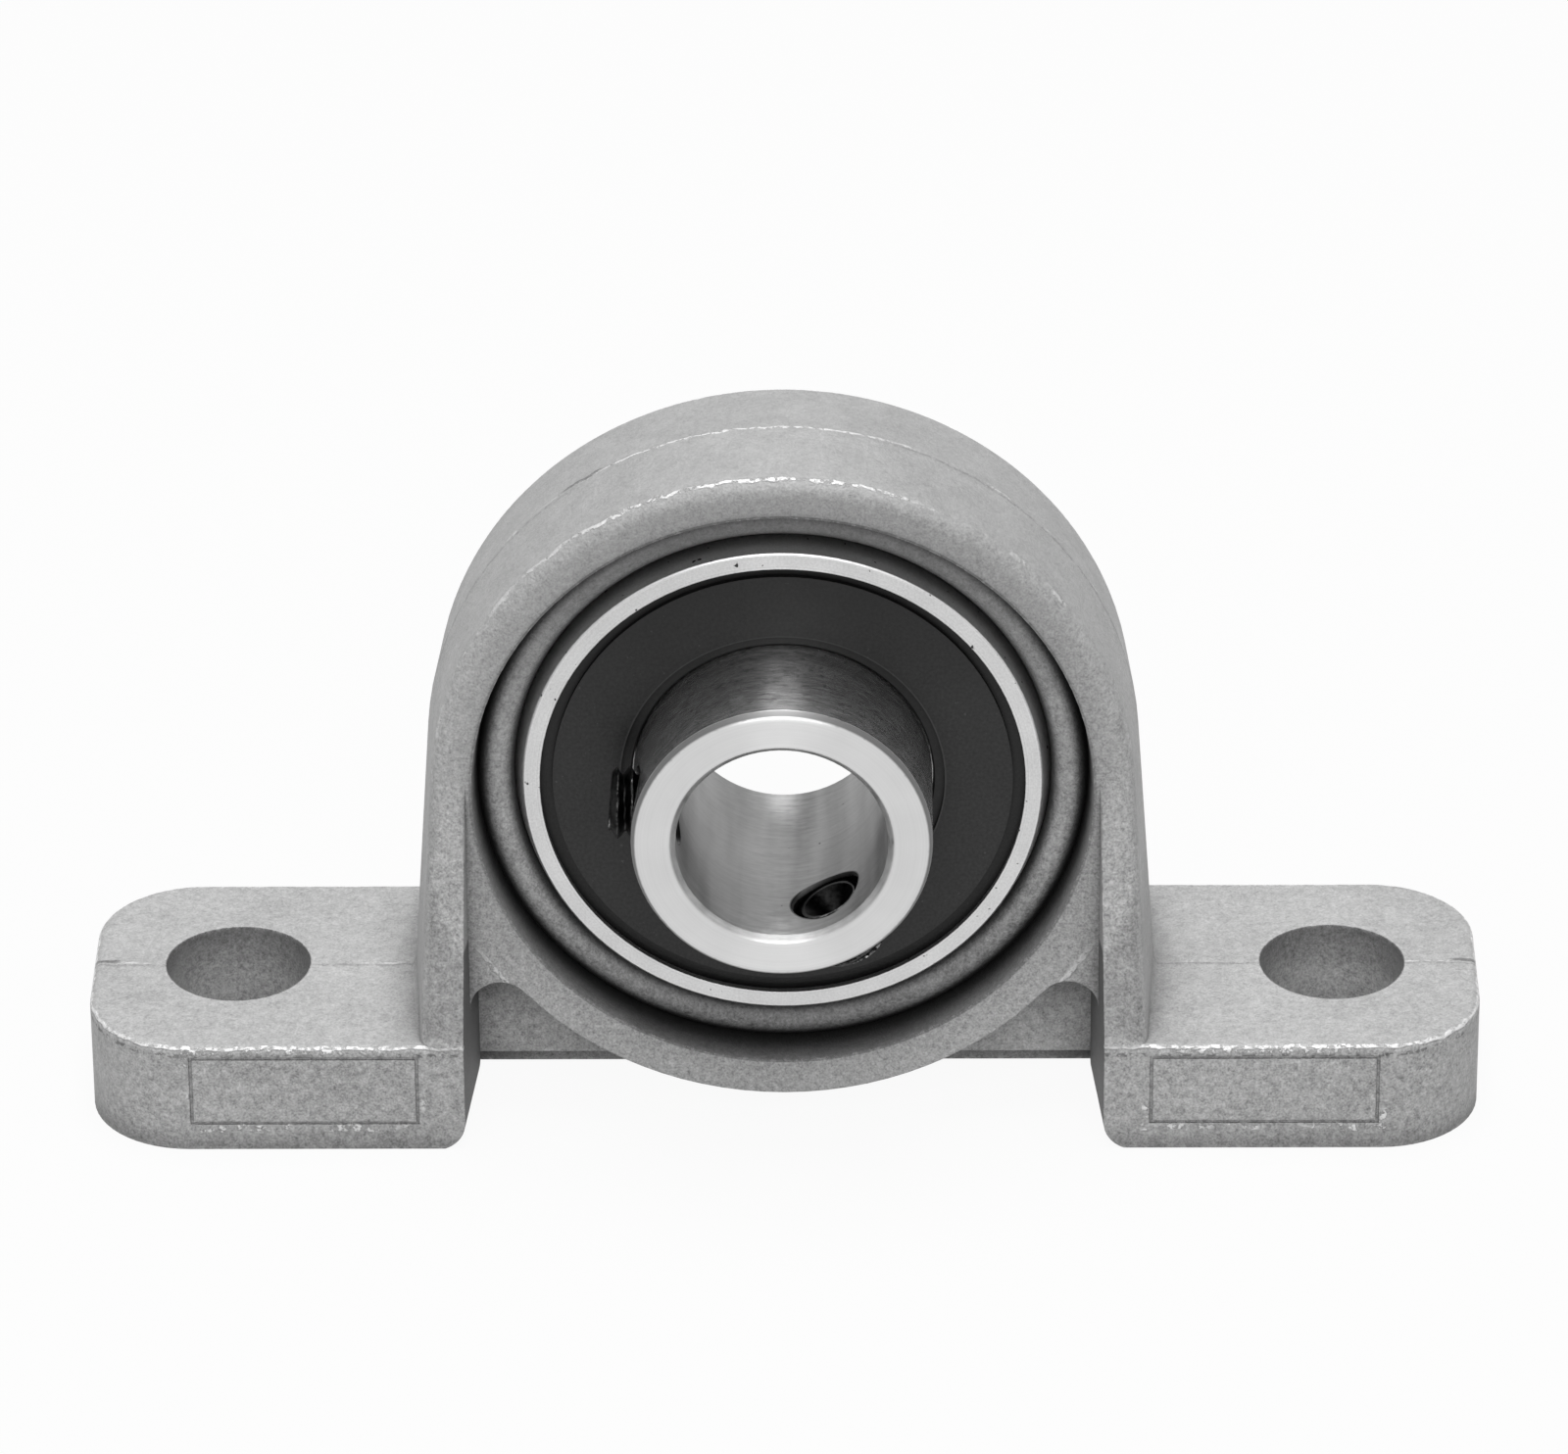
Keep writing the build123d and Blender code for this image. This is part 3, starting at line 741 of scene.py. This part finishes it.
def sheet_steel():
    """Rolled and pressed sheet steel of the cage and the seal plates."""
    s = Shader("sheet_steel")
    cloud = s.noise(s.place(), per_mm=3.0, detail=3.0)
    return s.finish(s.vary(cloud, *SHEET_COLOUR), s.vary(cloud, *SHEET_ROUGHNESS), 1.0)


def seal_rubber():
    """Black moulded rubber with a satin face, fine moulding rings and a little dust, thin painted highlights
    on the steps of the lip, painted shade in hollows and painted shadow towards the top.
    """
    s = Shader("seal_rubber")
    where = s.place()
    radius = s.length(s.from_axis(where))
    grain = s.noise(where, per_mm=6.0, detail=3.0)
    cloud = s.noise(where, per_mm=0.35, detail=3.0)
    rings = s.noise(radius, per_mm=4.0, detail=3.0, roughness=0.6, dimensions="1D")
    dust = s.soft(s.noise(where, per_mm=4.0, detail=2.0), 0.70, 0.78)
    outer_step = s.near(radius, SEAL_OUTER_STEP, reach=0.06)
    steps = s.math("MAXIMUM", outer_step, s.near(radius, SEAL_INNER_STEP, reach=0.05))
    colour = s.total(s.vary(cloud, *SEAL_COLOUR), s.product(dust, SEAL_DUST_AND_HIGHLIGHT))
    # The steps of the lip get thin painted highlights.
    colour = s.total(colour, s.vary(grain, -0.005, 0.008), s.product(steps, SEAL_DUST_AND_HIGHLIGHT))
    # Painted shade in hollows, and painted shadow that darkens the seal towards its top.
    colour = s.product(colour, s.spread(s.hollows(SEAL_HOLLOW_REACH), 0.1, 0.6, to_low=1.0, to_high=0.15))
    top = s.spread(s.coordinates(where)["Z"], *SEAL_TOP_HEIGHTS, to_low=1.0, to_high=SEAL_TOP_LEVEL)
    colour = s.product(colour, top)
    height = s.total(grain, s.product(rings, 0.8))
    s.surface.inputs["Specular IOR Level"].default_value = SEAL_SPECULAR
    return s.finish(colour, s.vary(cloud, *SEAL_ROUGHNESS), 0.0, s.bump(height, SEAL_GRAIN_DEPTH, 0.6))


def black_screw():
    """Black oxide set screws, a little worn on the crests of the thread, which are also brightened as painted
    glints.
    """
    s = Shader("black_screw")
    grain = s.noise(s.place(), per_mm=5.0, detail=3.0)
    edge = s.soft(s.outer_edges(SCREW_EDGE_REACH), 0.40, 0.62)
    # The bright crests are partly wear and partly painted glints.
    worn = s.product(edge, s.spread(grain, 0.42, 0.56))
    colour = s.mix(worn, s.vary(grain, *SCREW_COLOUR), SCREW_WORN_AND_GLINT_COLOUR)
    return s.finish(colour, s.vary(grain, *SCREW_ROUGHNESS), 1.0, s.bump(grain, SCREW_GRAIN_DEPTH, 0.6))


MATERIALS = {
    "zinc_casting": cast_zinc(),
    "ring_steel": ring_steel(),
    "collar_steel": collar_steel(),
    "ball_steel": ball_steel(),
    "sheet_steel": sheet_steel(),
    "seal_rubber": seal_rubber(),
    "black_screw": black_screw(),
}
for part in frame["record"]["subparts"]:
    for slot in frame["nodes"][part["node"]].material_slots:
        slot.material = MATERIALS[part["material_slot"]]


# Set screws, with the thread that the CAD nodes leave out

def hexagon(angle, flat):
    """Distance from the middle to the side of a hexagon, at an angle."""
    return flat / cos((angle + pi / 6) % (pi / 3) - pi / 6)


def thread(angle, along):
    """Radius of the thread at an angle and a height, with flat crests and roots."""
    turn = (along / THREAD_PITCH - angle / (2 * pi)) % 1
    flank = min(max((abs(turn - 0.5) - THREAD_FLAT) / (0.5 - 2 * THREAD_FLAT), 0), 1)
    return SCREW_CREST - THREAD_DEPTH * (1 - flank)


def set_screw_rings():
    """Rings of points from the cup point to the bottom of the socket: (height, radius at an angle)."""
    rings = [(CUP_DEPTH, lambda angle: CONE_TIP), (0, lambda angle: CUP_RADIUS)]
    for step in range(THREAD_ROWS + 1):
        height = SCREW_LENGTH * step / THREAD_ROWS
        room = SCREW_CREST - max(END_CHAMFER - height, height - SCREW_LENGTH + END_CHAMFER, 0)
        rings.append((height, lambda angle, height=height, room=room: min(room, thread(angle, height))))
    rings.append((SCREW_LENGTH, lambda angle: hexagon(angle, SOCKET_FLAT + SOCKET_CHAMFER)))
    rings.append((SCREW_LENGTH - SOCKET_CHAMFER, lambda angle: hexagon(angle, SOCKET_FLAT)))
    rings.append((SCREW_LENGTH - SOCKET_DEPTH, lambda angle: hexagon(angle, SOCKET_FLAT)))
    rings.append((SCREW_LENGTH - SOCKET_DEPTH - SOCKET_CONE, lambda angle: CONE_TIP))
    return rings


def ring_of_points(mesh, middle, side, radius):
    """The points of one ring, at the radius that each angle has."""
    ring = []
    for step in range(THREAD_SIDES):
        angle = 2 * pi * step / THREAD_SIDES
        reach = radius(angle)
        across = side * cos(angle) * reach + Vector((0, 1, 0)) * sin(angle) * reach
        ring.append(mesh.verts.new(middle + across))
    return ring


def set_screw_mesh(node):
    """The faces between the rings, closed at both ends."""
    middle, outwards = screw_axis(node)
    side = Vector((0, 1, 0)).cross(outwards)
    base = middle - outwards * SCREW_LENGTH / 2
    mesh = bmesh.new()
    rings = []
    for height, radius in set_screw_rings():
        rings.append(ring_of_points(mesh, base + outwards * height, side, radius))
    for inner, outer in zip(rings, rings[1:]):
        for a, b, c, d in zip(inner, inner[1:] + inner[:1], outer[1:] + outer[:1], outer):
            mesh.faces.new((a, b, c, d))
    mesh.faces.new(rings[0])
    mesh.faces.new(rings[-1])
    bmesh.ops.recalc_face_normals(mesh, faces=mesh.faces)
    data = bpy.data.meshes.new(node + "_threaded")
    mesh.to_mesh(data)
    mesh.free()
    return data


def set_screw(node):
    """A threaded set screw in place of the plain CAD one."""
    data = set_screw_mesh(node)
    data.materials.append(MATERIALS["black_screw"])
    data.shade_smooth()
    data.set_sharp_from_angle(angle=SHARP_ANGLE)
    piece = bpy.data.objects.new(node + "_threaded", data)
    bpy.context.scene.collection.objects.link(piece)
    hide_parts(node)
    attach(piece, node)


for screw in SET_SCREWS:
    set_screw(screw)


# Floor, world, lamps and camera

def seen_by_rays(tree):
    """1 for what the camera sees straight, in a mirror or through glass."""
    path = tree.nodes.new("ShaderNodeLightPath")
    share = path.outputs["Is Camera Ray"]
    for name in ("Is Glossy Ray", "Is Transmission Ray"):
        either = tree.nodes.new("ShaderNodeMath")
        either.operation = "MAXIMUM"
        tree.links.new(share, either.inputs[0])
        tree.links.new(path.outputs[name], either.inputs[1])
        share = either.outputs[0]
    return share


def floor_material():
    """Pale grey for the light and nearly white for the eye, so that a faint shadow stays."""
    material = bpy.data.materials.new("floor_white")
    material.use_nodes = True
    tree = material.node_tree
    tree.nodes.clear()
    plain = tree.nodes.new("ShaderNodeBsdfDiffuse")
    plain.inputs["Color"].default_value = (FLOOR_COLOUR, FLOOR_COLOUR, FLOOR_COLOUR, 1)
    white = tree.nodes.new("ShaderNodeEmission")
    either = tree.nodes.new("ShaderNodeMixShader")
    share = tree.nodes.new("ShaderNodeMath")
    share.operation = "MULTIPLY"
    share.inputs[1].default_value = FLOOR_WHITE_SHARE
    out = tree.nodes.new("ShaderNodeOutputMaterial")
    tree.links.new(seen_by_rays(tree), share.inputs[0])
    tree.links.new(share.outputs[0], either.inputs[0])
    tree.links.new(plain.outputs[0], either.inputs[1])
    tree.links.new(white.outputs[0], either.inputs[2])
    tree.links.new(either.outputs[0], out.inputs["Surface"])
    return material


def floor():
    """A square floor under the part."""
    mesh = bpy.data.meshes.new("floor")
    corners = [(x * FLOOR_HALF, y * FLOOR_HALF, 0) for x, y in ((-1, -1), (1, -1), (1, 1), (-1, 1))]
    mesh.from_pydata(corners, [], [(0, 1, 2, 3)])
    mesh.materials.append(floor_material())
    piece = bpy.data.objects.new("floor", mesh)
    piece.location.z = FLOOR_HEIGHT
    bpy.context.scene.collection.objects.link(piece)


def world():
    """An even pale surrounding, white where the camera or a mirror sees it."""
    surrounding = bpy.data.worlds.new("studio")
    surrounding.use_nodes = True
    tree = surrounding.node_tree
    background = tree.nodes["Background"]
    background.inputs["Color"].default_value = (1, 1, 1, 1)
    strength = tree.nodes.new("ShaderNodeMix")
    strength.inputs[2].default_value = WORLD_STRENGTH
    strength.inputs[3].default_value = 1.0
    tree.links.new(seen_by_rays(tree), strength.inputs[0])
    tree.links.new(strength.outputs[0], background.inputs["Strength"])
    bpy.context.scene.world = surrounding


def lamp(name, place, width, length, radiance):
    """A rectangular lamp that shines from its place towards the part."""
    data = bpy.data.lights.new(name, "AREA")
    data.shape = "RECTANGLE"
    data.size = width
    data.size_y = length
    data.energy = radiance * pi * width * length
    holder = bpy.data.objects.new(name, data)
    bpy.context.scene.collection.objects.link(holder)
    turn = (LAMP_TARGET - place).to_track_quat("-Z", "Y").to_matrix().to_4x4()
    holder.matrix_world = Matrix.Translation(place) @ turn


def camera():
    """The camera of the photograph."""
    back = Vector((
        sin(CAMERA_AZIMUTH) * cos(CAMERA_ELEVATION),
        -cos(CAMERA_AZIMUTH) * cos(CAMERA_ELEVATION),
        sin(CAMERA_ELEVATION),
    ))
    level = Vector((cos(CAMERA_AZIMUTH), sin(CAMERA_AZIMUTH), 0))
    upright = back.cross(level)
    right = cos(CAMERA_ROLL) * level + sin(CAMERA_ROLL) * upright
    up = cos(CAMERA_ROLL) * upright - sin(CAMERA_ROLL) * level
    data = bpy.data.cameras.new("camera")
    data.sensor_fit = "HORIZONTAL"
    data.sensor_width = SENSOR_WIDTH
    data.lens = FOCAL_PIXELS * SENSOR_WIDTH / IMAGE_WIDTH
    data.clip_start = CAMERA_NEAREST
    data.clip_end = CAMERA_FARTHEST
    holder = bpy.data.objects.new("camera", data)
    bpy.context.scene.collection.objects.link(holder)
    turn = Matrix((right, up, back)).transposed().to_4x4()
    holder.matrix_world = Matrix.Translation(CAMERA_TARGET + back * CAMERA_DISTANCE) @ turn
    bpy.context.scene.camera = holder


floor()
world()
lamp("top_light", **TOP_LAMP)
lamp("front_light", **FRONT_LAMP)
camera()
bpy.context.scene.view_settings.view_transform = "Standard"
